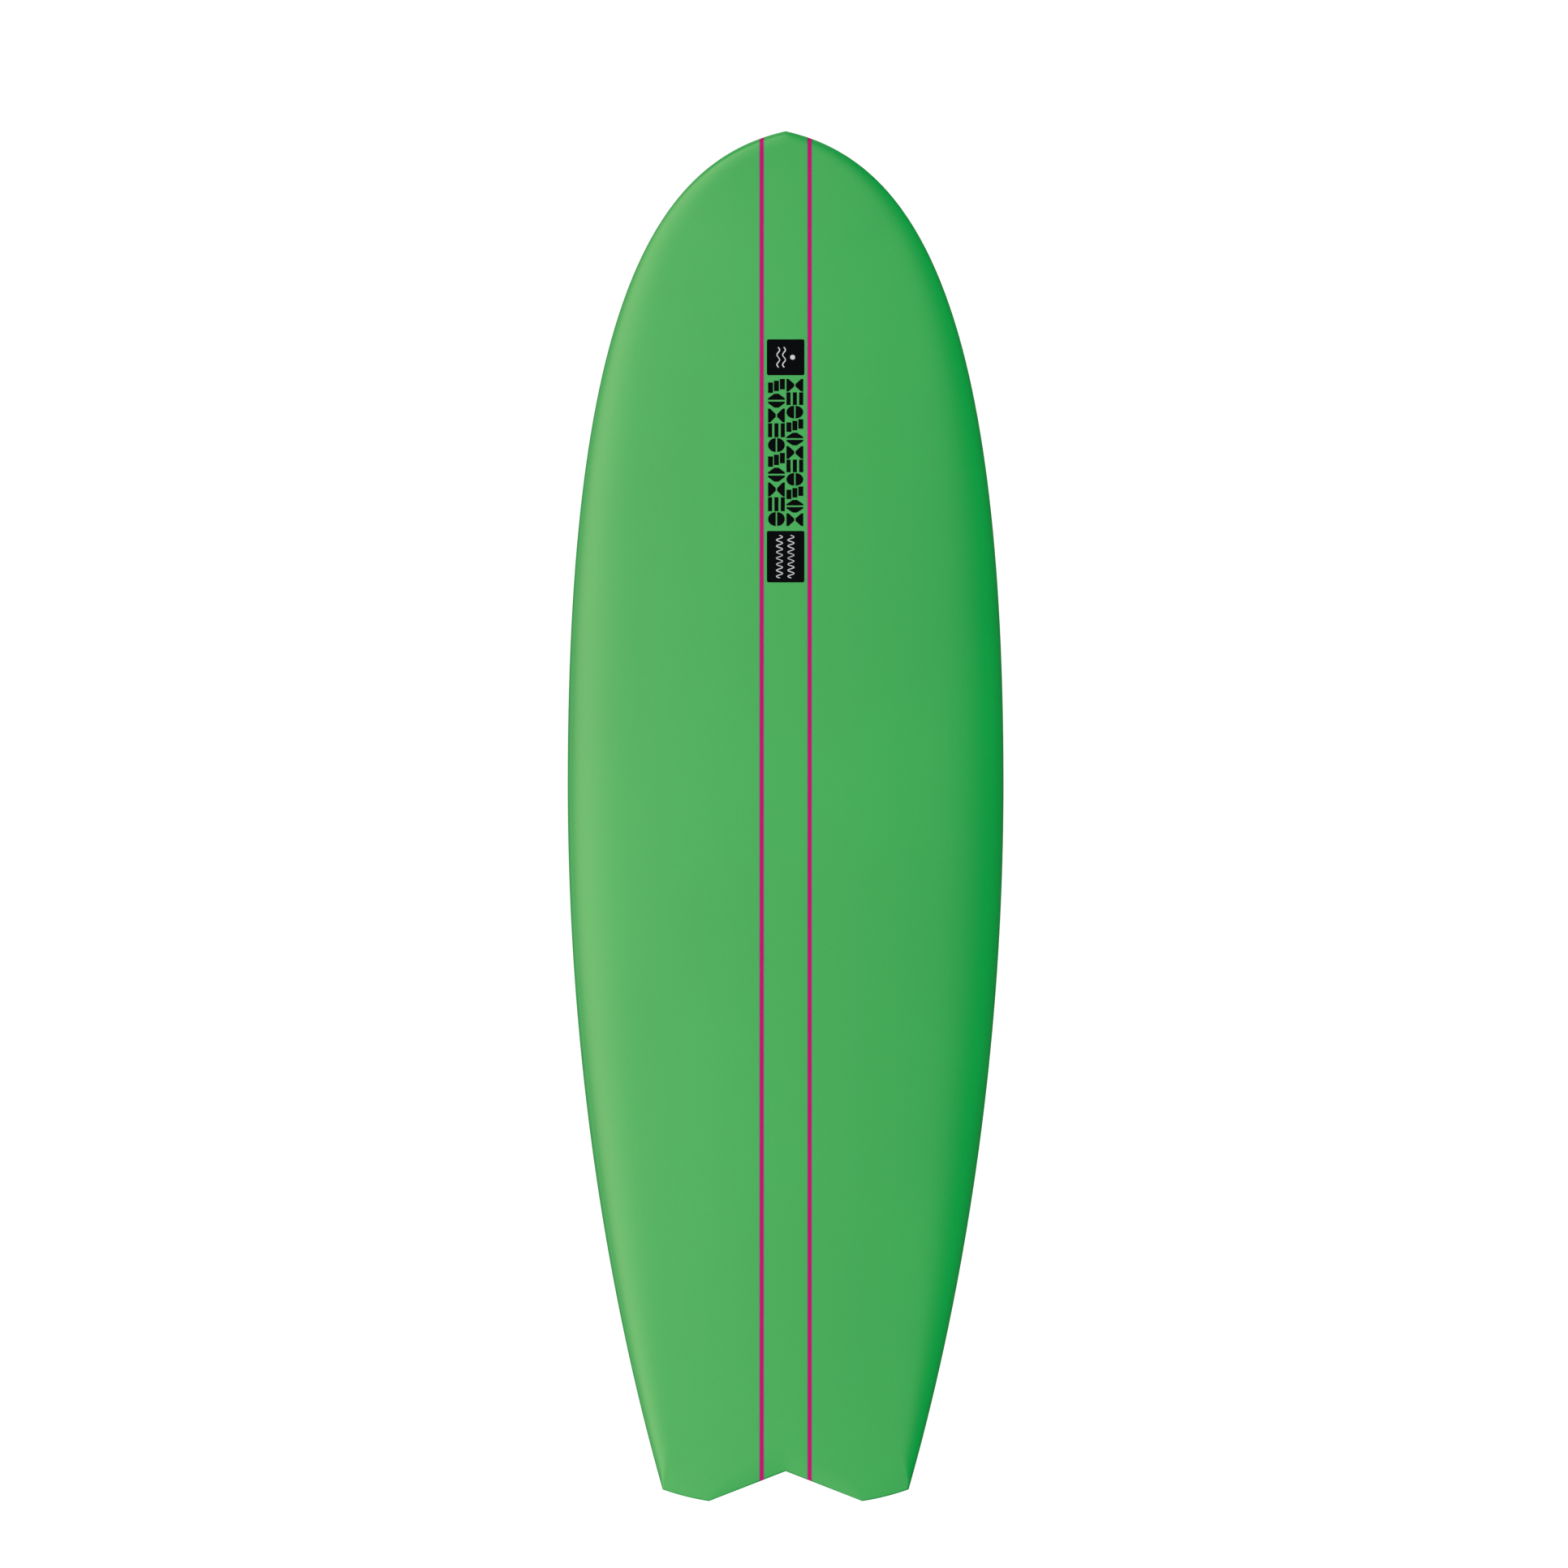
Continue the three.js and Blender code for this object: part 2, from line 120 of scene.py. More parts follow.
# fins, plugs and screws, in a frame of their own: +Y ahead, +Z out of the bottom
FIN_BASE = 112 * MM
FIN_DEPTH = 115 * MM
FIN_THICKNESS = 6.4 * MM
FIN_TIP_THICKNESS = 2.2 * MM
FIN_LIFT = 0.8 * MM
TAB_LENGTH, TAB_DEPTH = 14.2 * MM, 12.5 * MM
PLUG_RADIUS, PLUG_DEPTH = 15 * MM, 16 * MM
CLEARANCE = 0.3 * MM
SCREW_RADIUS, SCREW_LENGTH, SCREW_CONE, SCREW_TIP = 3 * MM, 8 * MM, 3.2 * MM, 1.2 * MM
SCREW_TILT = math.pi / 6
SOCKET_RADIUS, SOCKET_DEPTH = 1.4 * MM, 3 * MM
THREAD_PITCH = 0.635 * MM
GROOVE_DEPTH = 0.35 * MM

# mesh fineness
FRONT_STATIONS, REAR_STATIONS, TAIL_STATIONS = 60, 60, 12
DOME_ROWS, ROLL_ROWS, TUCK_ROWS, BELLY_ROWS = 15, 21, 8, 9
CORNER_STATIONS = 4  # how many rear stations it takes to go from the rail's shape to the tail block's
ROUND_SIDES = 48
BLADE_ROWS, CHORD_POINTS = 44, 25
MERGE_WITHIN, TOO_SHORT = 2e-6, 1e-7


# ---- the board's shape ----
def mix(a, b, t):
    return a + (b - a) * t


def smooth(t):
    t = np.clip(t, 0, 1)
    return t * t * (3 - 2 * t)


def reach_from_middle(y):
    """0 on the rocker's flat spot, 1 at the nose's or the tail's end."""
    return np.clip((np.abs(y) - FLAT_HALF) / (LENGTH / 2 - FLAT_HALF), 0, 1)


def rocker(y):
    reach = reach_from_middle(y)
    return np.where(y > 0, NOSE_ROCKER * reach**NOSE_ROCKER_POWER, TAIL_ROCKER * reach**TAIL_ROCKER_POWER)


def thickness(y):
    end = np.where(y > 0, NOSE_THICKNESS, TAIL_THICKNESS)
    return mix(THICKNESS, end, reach_from_middle(y) ** THICKNESS_POWER)


def bezier(points, count):
    """Points along a Bezier curve of any order, without its first point."""
    t = np.linspace(0, 1, count + 1)[1:, None]
    layers = [np.array(point, float)[None, :] for point in points]
    while len(layers) > 1:
        layers = [mix(a, b, t) for a, b in zip(layers, layers[1:])]
    return layers[0]


def outline():
    """The right-hand edge from nose to notch: points, hubs on the centreline, and tail share."""
    nose, widest = np.array([0, LENGTH / 2]), np.array([WIDTH / 2, WIDE_POINT])
    turn = nose + NOSE_PULL * np.array([math.cos(NOSE_ANGLE), -math.sin(NOSE_ANGLE)])
    front = bezier([nose, turn, widest + [0, FRONT_PULL], widest], FRONT_STATIONS)
    rear = bezier([widest, widest - [0, REAR_PULL], CORNER + CORNER_PULL, CORNER], REAR_STATIONS)
    block = bezier([CORNER, TIP_BOW, TIP], TAIL_STATIONS)
    swallow = bezier([TIP, NOTCH], TAIL_STATIONS)
    edges = np.vstack([nose[None, :], front, rear, block, swallow])
    tail = np.zeros(len(edges))
    tail[-2 * TAIL_STATIONS:] = 1
    nearing = slice(-2 * TAIL_STATIONS - CORNER_STATIONS, -2 * TAIL_STATIONS)
    tail[nearing] = smooth(np.arange(1, CORNER_STATIONS + 1) / CORNER_STATIONS)
    hubs = edges[:, 1] * np.where(edges[:, 1] > 0, NOSE_HUB, REAR_HUB)
    steps = np.arange(1, 2 * TAIL_STATIONS + 1) / (2 * TAIL_STATIONS)
    hubs[-2 * TAIL_STATIONS:] = CORNER[1] * REAR_HUB - TAIL_HUB_RUN * steps
    return edges, hubs, tail


def section(edge, hub, tail):
    """One cross-section from deck to bottom: rows of [distance in from the edge, height], and the
    number of the row at the deck laminate's lapped edge."""
    span = math.hypot(edge[0], edge[1] - hub)
    edge_thickness = float(thickness(edge[1]))
    hardness = float(smooth((-edge[1] - HARD_START) / HARD_RUN))
    roll_width = mix(RAIL_ROLL * edge_thickness, TAIL_EDGE_ROLL, tail)
    tuck_width = mix(TUCK, HARD_TUCK, hardness)
    apex = mix(APEX, TAIL_APEX, hardness) * edge_thickness

    def roll(reach, power):
        return np.sqrt(1 - (1 - np.clip(reach, 0, 1)) ** power)

    def deck_height(inset):
        y = mix(edge[1], hub, inset / span)
        aside = edge[0] * np.clip(1 - inset / span, 0, 1) / max(edge[0], CORNER[0])
        crown = thickness(y) * (1 - DOME * aside**DOME_POWER)
        bevel = tail * TAIL_BEVEL_DROP * np.clip(1 - inset / TAIL_BEVEL_WIDTH, 0, 1) ** 2
        return rocker(y) + apex + (crown - bevel - apex) * roll(inset / roll_width, RAIL_POWER)

    def bottom_height(inset):
        return rocker(mix(edge[1], hub, inset / span)) + apex * (1 - roll(inset / tuck_width, TUCK_POWER))

    dome = mix(roll_width, span, np.linspace(1, 0, DOME_ROWS)[:-1] ** 1.4)
    rolled = roll_width * np.linspace(1, 0, ROLL_ROWS) ** 2.4
    tucked = LAP * (np.arange(1, TUCK_ROWS) / TUCK_ROWS) ** 2
    lapped = np.array([LAP - SEAM / 2])
    inner = max(tuck_width, LAP + 4 * MM)
    belly = np.concatenate([[LAP + SEAM / 2], mix(LAP, inner, np.array([0.3, 0.65]))])
    belly = np.concatenate([belly, mix(inner, span, np.linspace(0, 1, BELLY_ROWS))])
    deck = np.concatenate([dome, rolled])
    bottom = np.concatenate([tucked, lapped, belly])
    insets = np.concatenate([deck, bottom])
    heights = np.concatenate([deck_height(deck), bottom_height(bottom)])
    return np.stack([insets, heights], 1), len(deck) + len(tucked)


def sunk(rows, depth, lap_end):
    """The same cross-section moved inwards, square to its own line."""
    before = np.roll(rows, 1, 0)
    after = np.roll(rows, -1, 0)
    before[lap_end + 1] = rows[lap_end - 1]
    after[lap_end] = rows[lap_end + 2]
    along = after - before
    along /= np.linalg.norm(along, axis=1)[:, None]
    moved = rows + depth * np.stack([-along[:, 1], along[:, 0]], 1)
    moved[0] = rows[0] - [0, depth]
    moved[-1] = rows[-1] + [0, depth]
    return moved


def board_columns(depth):
    """Cross-sections all round the board, as an array of columns, rows and x, y, z; their insets; and
    the number of the row at the deck laminate's lapped edge."""
    edges, hubs, tails = outline()
    columns, insets = [], []
    for edge, hub, tail in zip(edges, hubs, tails):
        rows, lap_end = section(edge, hub, tail)
        insets.append(rows[:, 0])
        if depth:
            rows = sunk(rows, depth, lap_end)
        part = rows[:, 0] / math.hypot(edge[0], edge[1] - hub)
        columns.append(np.stack([edge[0] * (1 - part), mix(edge[1], hub, part), rows[:, 1]], 1))
    right = np.array(columns)
    left = right[-2:0:-1] * [-1, 1, 1]
    insets = np.array(insets)
    return np.concatenate([right, left]), np.concatenate([insets, insets[-2:0:-1]]), lap_end


# ---- mesh helpers ----
def new_object(name, mesh):
    made = bpy.data.objects.new(name, mesh)
    bpy.context.scene.collection.objects.link(made)
    return made


def object_from(name, vertices, faces, sharp_angle=0.6):
    """A mesh object with merged vertices, faces pointing out and its sharp edges marked."""
    mesh = bpy.data.meshes.new(name)
    mesh.from_pydata([tuple(v) for v in vertices], [], [tuple(f) for f in faces])
    made = new_object(name, mesh)
    tidy_mesh(made, sharp_angle)
    return made


def tidy_mesh(made, sharp_angle=0.6):
    """Merges what coincides, drops the slivers that a merge leaves hanging, and marks sharp edges."""
    bm = bmesh.new()
    bm.from_mesh(made.data)
    bmesh.ops.remove_doubles(bm, verts=bm.verts, dist=MERGE_WITHIN)
    bmesh.ops.dissolve_degenerate(bm, edges=bm.edges, dist=TOO_SHORT)
    slivers = [face for face in bm.faces if {1, 3} <= {len(edge.link_faces) for edge in face.edges}]
    bmesh.ops.delete(bm, geom=slivers, context="FACES")
    bmesh.ops.recalc_face_normals(bm, faces=bm.faces)
    for face in bm.faces:
        face.smooth = True
    for edge in bm.edges:
        folded = len(edge.link_faces) == 2 and edge.calc_face_angle(0) > sharp_angle
        edge.smooth = not folded
    bm.to_mesh(made.data)
    bm.free()


def apply_modifiers(made):
    depsgraph = bpy.context.evaluated_depsgraph_get()
    mesh = bpy.data.meshes.new_from_object(made.evaluated_get(depsgraph), depsgraph=depsgraph)
    made.modifiers.clear()
    made.data = mesh


def cut(made, tools, operation="DIFFERENCE"):
    """Cuts tools out of made, or joins them to it, and removes the tools."""
    for tool in tools:
        boolean = made.modifiers.new("cut", "BOOLEAN")
        boolean.operation = operation
        boolean.solver = "EXACT"
        boolean.object = tool
    apply_modifiers(made)
    for tool in tools:
        bpy.data.objects.remove(tool)


def join(target, other):
    """Moves the other object's mesh into the target's, without merging them."""
    bm = bmesh.new()
    bm.from_mesh(target.data)
    bm.from_mesh(other.data)
    bpy.data.objects.remove(other)
    bm.to_mesh(target.data)
    bm.free()


def bevel_edges(made, width, segments=2, angle=0.7):
    bevel = made.modifiers.new("bevel", "BEVEL")
    bevel.width = width
    bevel.segments = segments
    bevel.limit_method = "ANGLE"
    bevel.angle_limit = angle
    apply_modifiers(made)


def lathe(name, profile, segments):
    """A closed solid from (radius, height) pairs that start and end on the axis."""
    turns = np.arange(segments) * 2 * math.pi / segments
    vertices = [(r * math.cos(a), r * math.sin(a), z) for r, z in profile for a in turns]
    faces = []
    for row in range(len(profile) - 1):
        for i in range(segments):
            j = (i + 1) % segments
            a, b = row * segments, (row + 1) * segments
            faces.append((a + i, a + j, b + j, b + i))
    return object_from(name, vertices, faces)


def post(name, radius, bottom_z, top_z, segments):
    """A plain upright cylinder, or a prism if it has few segments."""
    return lathe(name, [(0, bottom_z), (radius, bottom_z), (radius, top_z), (0, top_z)], segments)


def box_object(name, low, high):
    corners = [(x, y, z) for x in (low[0], high[0]) for y in (low[1], high[1]) for z in (low[2], high[2])]
    faces = [(0, 1, 3, 2), (4, 6, 7, 5), (0, 4, 5, 1), (2, 3, 7, 6), (0, 2, 6, 4), (1, 5, 7, 3)]
    return object_from(name, corners, faces)


# ---- skins ----
def skin(name, first, last):
    """A closed shell over some rows of the cross-sections, with each vertex's distance from the edge."""
    outer, insets, _ = board_columns(0)
    inner, _, _ = board_columns(SKIN)
    outer, inner, insets = outer[:, first:last], inner[:, first:last], insets[:, first:last]
    columns, rows = outer.shape[:2]
    offset = columns * rows
    faces = []
    for c in range(columns):
        a, b = c * rows, ((c + 1) % columns) * rows
        for r in range(rows - 1):
            quad = (a + r, b + r, b + r + 1, a + r + 1)
            faces.append(quad)
            faces.append(tuple(v + offset for v in reversed(quad)))
        rim = rows - 1 if first == 0 else 0
        faces.append((a + rim, b + rim, b + rim + offset, a + rim + offset))
    mesh = bpy.data.meshes.new(name)
    vertices = np.concatenate([outer.reshape(-1, 3), inner.reshape(-1, 3)])
    mesh.from_pydata([tuple(v) for v in vertices], [], faces)
    inset = mesh.attributes.new("inset", "FLOAT", "POINT")
    inset.data.foreach_set("value", np.tile(insets.reshape(-1), 2).astype(np.float32))
    made = new_object(name, mesh)
    tidy_mesh(made)
    return made


_, _, lap_end = board_columns(0)
deck = skin("deck_laminate", 0, lap_end + 1)
bottom = skin("bottom_laminate", lap_end + 1, None)


def tree_of(made):
    mesh = made.data
    return BVHTree.FromPolygons([v.co for v in mesh.vertices], [list(p.vertices) for p in mesh.polygons])


deck_tree, bottom_tree = tree_of(deck), tree_of(bottom)


def deck_point(x, y):
    return deck_tree.ray_cast(Vector((x, y, 1)), Vector((0, 0, -1)))


# ---- node graph helper ----
RESIN_INDEX = 1.5
FULL_SHEEN_FACING = 0.6  # the cosine to the eye from which a surface has all its sheen


class Graph:
    """The node tree of a material or a world, with short calls for the nodes that are used here."""

    def __init__(self, owner, output):
        owner.use_nodes = True
        self.tree = owner.node_tree
        self.tree.nodes.clear()
        self.output = self.tree.nodes.new(output)

    def end_in(self, shader):
        self.tree.links.new(shader.outputs[0], self.output.inputs["Surface"])

    def node(self, kind, settings=None, **inputs):
        made = self.tree.nodes.new(kind)
        for key, value in (settings or {}).items():
            setattr(made, key, value)
        for key, value in inputs.items():
            self.plug(made, key.replace("_", " "), value)
        return made

    def plug(self, node, key, value):
        """Sets or links an input, by its name or, for names that repeat, by i and its number."""
        socket = node.inputs[int(key[1:]) if key[0] == "i" and key[1:].isdigit() else key]
        if isinstance(value, bpy.types.NodeSocket):
            self.tree.links.new(value, socket)
        else:
            socket.default_value = value

    def math(self, operation, a, b=0.0, c=0.0, clamp=False):
        settings = {"operation": operation, "use_clamp": clamp}
        return self.node("ShaderNodeMath", settings, i0=a, i1=b, i2=c).outputs[0]

    def ramp(self, value, low, high, to_low=0.0, to_high=1.0):
        made = self.node("ShaderNodeMapRange", {"interpolation_type": "SMOOTHSTEP"}, Value=value)
        for key, number in (("From Min", low), ("From Max", high), ("To Min", to_low), ("To Max", to_high)):
            made.inputs[key].default_value = number
        return made.outputs[0]

    def mix(self, share, a, b, blend="MIX"):
        made = self.node("ShaderNodeMix", {"data_type": "RGBA", "blend_type": blend})
        for index, value in ((0, share), (6, a), (7, b)):
            if isinstance(value, bpy.types.NodeSocket):
                self.tree.links.new(value, made.inputs[index])
            else:
                made.inputs[index].default_value = value
        return made.outputs[2]

    def position(self):
        return self.node("ShaderNodeTexCoord").outputs["Object"]

    def axes(self, vector):
        split = self.node("ShaderNodeSeparateXYZ", Vector=vector)
        return split.outputs[0], split.outputs[1], split.outputs[2]

    def noise(self, vector, scale, detail=2.0, roughness=0.5):
        made = self.node("ShaderNodeTexNoise", Vector=vector, Scale=scale, Detail=detail, Roughness=roughness)
        return made.outputs[0]

    def stretched(self, vector, scale, detail=3.0, roughness=0.5):
        """Noise drawn out along the axes with the smaller scales."""
        mapped = self.node("ShaderNodeMapping", Vector=vector, Scale=scale).outputs[0]
        return self.noise(mapped, 1.0, detail, roughness)

    def shaded(self, colour, value):
        """The colour, made darker or lighter by a number."""
        tone = self.node("ShaderNodeCombineColor", Red=value, Green=value, Blue=value).outputs[0]
        return self.mix(1.0, colour, tone, "MULTIPLY")

    def soft_index(self):
        """A refractive index that falls to 1 towards grazing angles, so that edges don't flash white."""
        facing = self.node("ShaderNodeLayerWeight", Blend=0.5).outputs["Facing"]
        near = self.math("DIVIDE", self.math("SUBTRACT", 1.0, facing), FULL_SHEEN_FACING, clamp=True)
        return self.math("MULTIPLY_ADD", self.math("POWER", near, 3.0), RESIN_INDEX - 1, 1.0)

    def bump(self, height, distance, strength=1.0, below=None):
        made = self.node("ShaderNodeBump", Height=height, Distance=distance, Strength=strength)
        if below is not None:
            self.plug(made, "Normal", below)
        return made.outputs[0]


class Surface(Graph):
    """A material's node tree, round one principled surface."""

    def __init__(self, name):
        self.material = bpy.data.materials.new(name)
        super().__init__(self.material, "ShaderNodeOutputMaterial")
        self.surface = self.node("ShaderNodeBsdfPrincipled")
        self.end_in(self.surface)

    def finish(self, **inputs):
        for key, value in inputs.items():
            self.plug(self.surface, key.replace("_", " "), value)
        return self.material


def grey(value):
    return (value, value, value, 1)


# ---- materials ----
GREEN = (0.007, 0.372, 0.062, 1)
DEEP_GREEN = (0.006, 0.355, 0.059, 1)
LAP_GREEN = (0.006, 0.29, 0.048, 1)
FOAM_GREEN = (0.05, 0.42, 0.12, 1)
MAGENTA = (0.60, 0.003, 0.155, 1)
DARK_MAGENTA = (0.42, 0.004, 0.10, 1)
SMOKE = (0.012, 0.014, 0.016, 1)
LIGHT_SMOKE = (0.022, 0.025, 0.028, 1)
HONEYCOMB = (0.075, 0.082, 0.085, 1)
GLUE_LINE = (0.03, 0.02, 0.14, 1)
GLUE_WIDTH = 0.55 * MM
GLUE_SPREAD = 0.25 * MM
BLUR = 0.1 * MM  # how softly the stringers' edges show through the resin
CLOTH_PITCH = 0.9 * MM
CLOTH_REACH = 44 * MM  # how far the deck's cloth laps onto the bottom
FOAM_GRAIN = 420


def cloth_weave(g, x, y, pitch):
    """A plain weave's height: threads along x pass over and under threads along y."""
    across = g.math("SINE", g.math("MULTIPLY", x, math.pi / pitch))
    along = g.math("SINE", g.math("MULTIPLY", y, math.pi / pitch))
    return g.math("MULTIPLY", across, along)


def laminate_material(name, roughness, lap_shade):
    """Clear laminate over green foam, with the two coloured stringers showing through."""
    g = Surface(name)
    position = g.position()
    x, y, _ = g.axes(position)
    inset = g.node("ShaderNodeAttribute", {"attribute_name": "inset"}).outputs["Fac"]

    clouds = g.noise(position, 3.2, 3)
    grain = g.noise(position, FOAM_GRAIN, 2, 0.6)
    weave = cloth_weave(g, x, y, CLOTH_PITCH)
    lap_edge = g.math("ADD", inset, g.math("MULTIPLY", g.noise(position, 60, 2), 2.5 * MM))
    lapped = g.ramp(lap_edge, CLOTH_REACH, CLOTH_REACH + 1 * MM, lap_shade, 0)
    green = g.mix(g.ramp(clouds, 0.35, 0.65), GREEN, DEEP_GREEN)
    green = g.mix(lapped, green, LAP_GREEN)
    grain_shade = g.math("MULTIPLY_ADD", grain, 0.08, 0.96)
    shade = g.math("MULTIPLY", grain_shade, g.math("MULTIPLY_ADD", weave, 0.012, 1.0))

    wander = g.math("MULTIPLY", g.noise(position, 35, 1), 0.15 * MM)
    aside = g.math("ABSOLUTE", g.math("SUBTRACT", g.math("ABSOLUTE", x), STRINGER_X))
    aside = g.math("ADD", aside, wander)
    wood_edge, glue_edge = STRINGER_HALF - GLUE_WIDTH, STRINGER_HALF + GLUE_SPREAD
    stringer = g.ramp(aside, wood_edge, wood_edge + BLUR, 1, 0)
    glued = g.ramp(aside, glue_edge, glue_edge + BLUR, 0.95, 0)
    wood = g.math("MULTIPLY_ADD", g.stretched(position, (900, 9, 900)), 0.3, 0.85)
    colour = g.mix(glued, g.shaded(green, shade), GLUE_LINE)
    colour = g.mix(stringer, colour, g.shaded(MAGENTA, wood))

    rough = g.math("MULTIPLY_ADD", g.stretched(position, (60, 14, 60), 4, 0.7), 0.1, roughness - 0.05)
    rough = g.math("ADD", rough, g.ramp(inset, 0, 12 * MM, 0.05, 0))
    normal = g.bump(grain, 0.008 * MM, below=g.bump(weave, 0.003 * MM))
    sheen = g.math("MULTIPLY_ADD", stringer, -0.47, 0.5)
    return g.finish(
        Base_Color=colour, Roughness=rough, Normal=normal, Specular_IOR_Level=sheen, IOR=g.soft_index(),
    )


def print_material(name, colour):
    """Ink on rice paper, seen through the laminate: slightly uneven and very low in sheen."""
    g = Surface(name)
    position = g.position()
    fibres = g.noise(position, 900, 3, 0.7)
    rough = g.math("MULTIPLY_ADD", g.noise(position, 300, 2), 0.15, 0.38)
    colour = g.shaded(colour, g.math("MULTIPLY_ADD", fibres, 0.3, 0.85))
    normal = g.bump(fibres, 0.004 * MM)
    return g.finish(
        Base_Color=colour, Roughness=rough, Normal=normal, Specular_IOR_Level=0.01, IOR=g.soft_index(),
    )


def foam_material():
    """Fine closed cells, coloured through."""
    g = Surface("foam_blank")
    cells = g.node("ShaderNodeTexVoronoi", Vector=g.position(), Scale=700.0).outputs["Distance"]
    colour = g.shaded(FOAM_GREEN, g.math("MULTIPLY_ADD", cells, 0.35, 0.8))
    return g.finish(Base_Color=colour, Roughness=0.9, Normal=g.bump(cells, 0.15 * MM))


def stringer_material():
    """Dyed wood with its grain along the board."""
    g = Surface("stringer_wood")
    grain = g.stretched(g.position(), (600, 6, 300), 4, 0.6)
    colour = g.mix(g.ramp(grain, 0.35, 0.7), MAGENTA, DARK_MAGENTA)
    return g.finish(Base_Color=colour, Roughness=0.55, Normal=g.bump(grain, 0.05 * MM))


def fin_material():
    """Dark resin over a honeycomb core that fades out towards the rim, with fine polishing marks."""
    g = Surface("fin_composite")
    position = g.position()
    _, y, z = g.axes(position)
    flat = g.node("ShaderNodeCombineXYZ", X=y, Y=z).outputs[0]
    cells = g.node(
        "ShaderNodeTexVoronoi", {"feature": "DISTANCE_TO_EDGE"}, Vector=flat, Scale=190.0, Randomness=0.25,
    )
    walls = g.ramp(cells.outputs["Distance"], 0.03, 0.09, 0.7, 0)
    core = g.ramp(g.node("ShaderNodeAttribute", {"attribute_name": "core"}).outputs["Fac"], 0.25, 0.4)
    resin = g.mix(g.ramp(g.noise(position, 30, 3), 0.3, 0.7), SMOKE, LIGHT_SMOKE)
    colour = g.mix(g.math("MULTIPLY", walls, core), resin, HONEYCOMB)
    marks = g.stretched(position, (40, 200, 200), 4, 0.7)
    rough = g.math("MULTIPLY_ADD", marks, 0.18, 0.16)
    normal = g.bump(marks, 0.01 * MM)
    index = g.soft_index()
    return g.finish(
        Base_Color=colour, Roughness=rough, Normal=normal, IOR=index,
        Coat_Weight=0.4, Coat_Roughness=0.12, Coat_IOR=index,
    )


def plug_material():
    """Black moulded plastic, finely speckled."""
    g = Surface("plug_plastic")
    position = g.position()
    speckle = g.noise(position, 1500, 2, 0.6)
    colour = g.mix(g.ramp(speckle, 0.4, 0.7), grey(0.012), grey(0.03))
    rough = g.math("MULTIPLY_ADD", g.noise(position, 250, 2), 0.2, 0.4)
    return g.finish(Base_Color=colour, Roughness=rough, Normal=g.bump(speckle, 0.02 * MM))


def steel_material():
    """Brushed steel."""
    g = Surface("screw_steel")
    brushed = g.stretched(g.position(), (3000, 3000, 400))
    colour = g.mix(g.ramp(brushed, 0.3, 0.7), grey(0.42), grey(0.62))
    rough = g.math("MULTIPLY_ADD", brushed, 0.2, 0.22)
    return g.finish(Base_Color=colour, Roughness=rough, Metallic=1.0, Normal=g.bump(brushed, 0.01 * MM))


def dress(made, *materials):
    made.data.materials.clear()
    for material in materials:
        made.data.materials.append(material)


COMPOSITE, PLASTIC, STEEL = fin_material(), plug_material(), steel_material()


# ---- fins, plugs and screws ----
def fin_frame(name):
    """A fin's place, from its joints: a 4x4 matrix, its screws' side and how far apart they are."""
    up = Vector(joints[f"fin_{name}_pull"]["axis"]).normalized()
    front = Vector(joints[f"screw_{name}_front_turn"]["pos_m"])
    rear = Vector(joints[f"screw_{name}_rear_turn"]["pos_m"])
    ahead = (front - rear).normalized()
    across = ahead.cross(up).normalized()
    screw_axis = Vector(joints[f"screw_{name}_front_turn"]["axis"])
    side = 1 if screw_axis.dot(across) > 0 else -1
    x, z = screw_tip(side)
    middle = SCREW_LENGTH / 2
    pivot = Vector((x + side * middle * math.sin(SCREW_TILT), 0, z + middle * math.cos(SCREW_TILT)))
    turn = Matrix((across, ahead, up)).transposed()
    origin = (front + rear) / 2 - turn @ pivot
    return Matrix.Translation(origin) @ turn.to_4x4(), side, (front - rear).length


def screw_tip(side):
    """Where the tip of a grub screw on that side of the tab lies: x and z in the fin's frame."""
    x = FIN_THICKNESS / 2 + CLEARANCE + SCREW_TIP * math.cos(SCREW_TILT)
    drop = SCREW_LENGTH * math.cos(SCREW_TILT) + SCREW_RADIUS * math.sin(SCREW_TILT)
    return side * x, -CLEARANCE - drop


def foil(part):
    """Half-thickness share along the chord: round in front, thin behind."""
    return np.maximum(np.sqrt(part) * (1 - part) * 2.6, 0.1 * smooth(part / 0.05))


